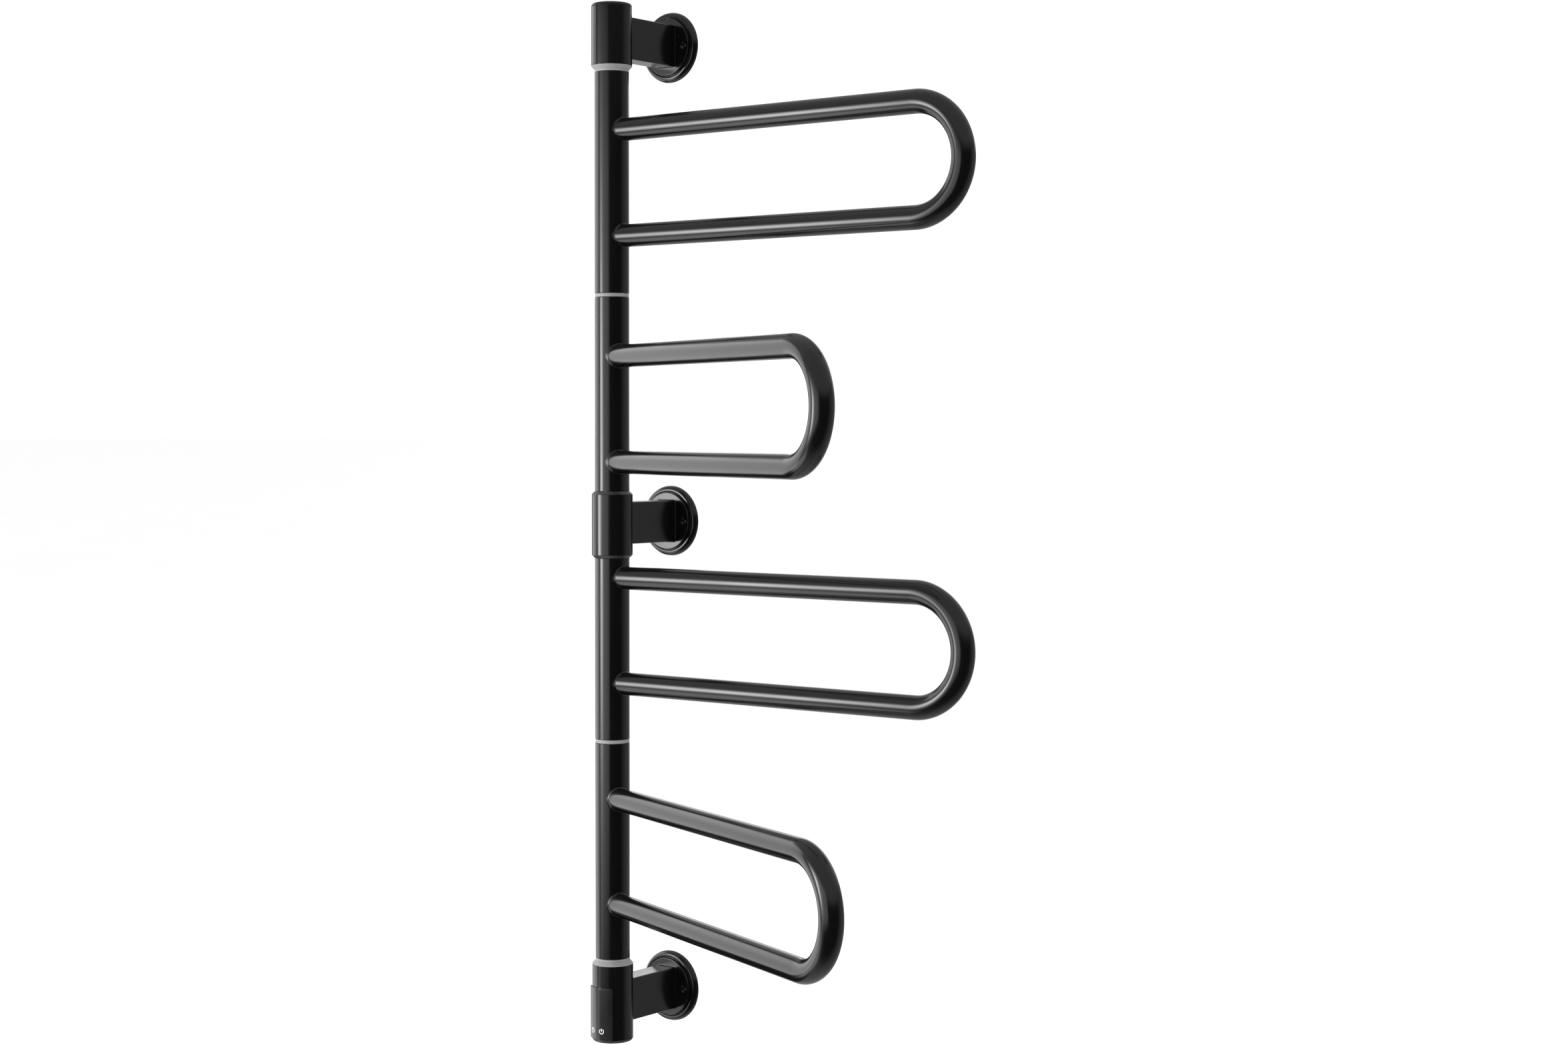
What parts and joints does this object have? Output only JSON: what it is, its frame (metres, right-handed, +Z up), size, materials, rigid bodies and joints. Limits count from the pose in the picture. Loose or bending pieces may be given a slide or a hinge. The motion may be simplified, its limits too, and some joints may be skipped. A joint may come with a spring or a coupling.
{
  "type": "heated towel rack",
  "caption": "Wall-mounted electric towel rack: a slim vertical post held by wall brackets, with U-shaped tube arms that swing round it and touch symbols at its foot.",
  "frame": {"origin": "centre of the middle wall flange's back face, in the wall plane", "axes": "+Z up along the post, +Y into the wall, +X to the right for someone facing the wall; the room is towards -Y"},
  "size_m": [0.5232, 0.2993, 1.1587],
  "materials": {
    "black_metal": "semi-gloss black",
    "black_plastic": "satin black",
    "grey_plastic": "satin light grey",
    "panel_plastic": "gloss black",
    "symbol_white": "satin white",
    "bare_steel": "drawn",
    "screw_steel": "blackened",
    "bushing_plastic": "natural acetal",
    "board_green": "lacquered",
    "terminal_ivory": "satin",
    "grommet_rubber": "matt",
    "cable_sheath": "silicone sheath"
  },
  "bodies": {
    "wall_frame": {"wall_flange_top": "black_metal", "wall_flange_middle": "black_metal", "wall_flange_bottom": "black_metal", "bracket_arm_top": "black_metal", "bracket_arm_middle": "black_metal", "bracket_arm_bottom": "black_metal", "collar_top": "black_metal", "collar_middle": "black_metal", "control_housing": "black_metal", "top_cap": "black_metal", "bottom_cap": "black_plastic", "inner_pipe": "bare_steel", "top_ring": "grey_plastic", "upper_joint_ring": "grey_plastic", "middle_ring_upper": "black_plastic", "middle_ring_lower": "black_plastic", "lower_joint_ring": "grey_plastic", "bottom_ring": "grey_plastic", "control_panel": "panel_plastic", "power_symbol": "symbol_white", "timer_symbol": "symbol_white", "circuit_board": "board_green", "terminal_block": "terminal_ivory", "cable_grommet": "grommet_rubber", "wiring_loom": "cable_sheath", "grub_screws": "screw_steel", "pipe_screws": "screw_steel", "stop_pins": "bare_steel"},
    "arm_1": {"segment_tube_1": "black_metal", "u_bar_1": "black_metal", "bushing_upper_1": "bushing_plastic", "bushing_lower_1": "bushing_plastic", "heating_cable_1": "cable_sheath"},
    "arm_2": {"segment_tube_2": "black_metal", "u_bar_2": "black_metal", "bushing_upper_2": "bushing_plastic", "bushing_lower_2": "bushing_plastic", "heating_cable_2": "cable_sheath"},
    "arm_3": {"segment_tube_3": "black_metal", "u_bar_3": "black_metal", "bushing_upper_3": "bushing_plastic", "bushing_lower_3": "bushing_plastic", "heating_cable_3": "cable_sheath"},
    "arm_4": {"segment_tube_4": "black_metal", "u_bar_4": "black_metal", "bushing_upper_4": "bushing_plastic", "bushing_lower_4": "bushing_plastic", "heating_cable_4": "cable_sheath"}
  },
  "joints": [
    {"name": "arm_1_swing", "type": "hinge", "parent": "wall_frame", "child": "arm_1", "pos_m": [0, -0.102, 0.378], "axis": [0, 0, 1], "range_deg": [-180, 0]},
    {"name": "arm_2_swing", "type": "hinge", "parent": "wall_frame", "child": "arm_2", "pos_m": [0, -0.102, 0.127], "axis": [0, 0, 1], "range_deg": [-156.9, 23.1]},
    {"name": "arm_3_swing", "type": "hinge", "parent": "wall_frame", "child": "arm_3", "pos_m": [0, -0.102, -0.1194], "axis": [0, 0, 1], "range_deg": [-180, 0]},
    {"name": "arm_4_swing", "type": "hinge", "parent": "wall_frame", "child": "arm_4", "pos_m": [0, -0.102, -0.3655], "axis": [0, 0, 1], "range_deg": [-158.2, 21.8]}
  ]
}
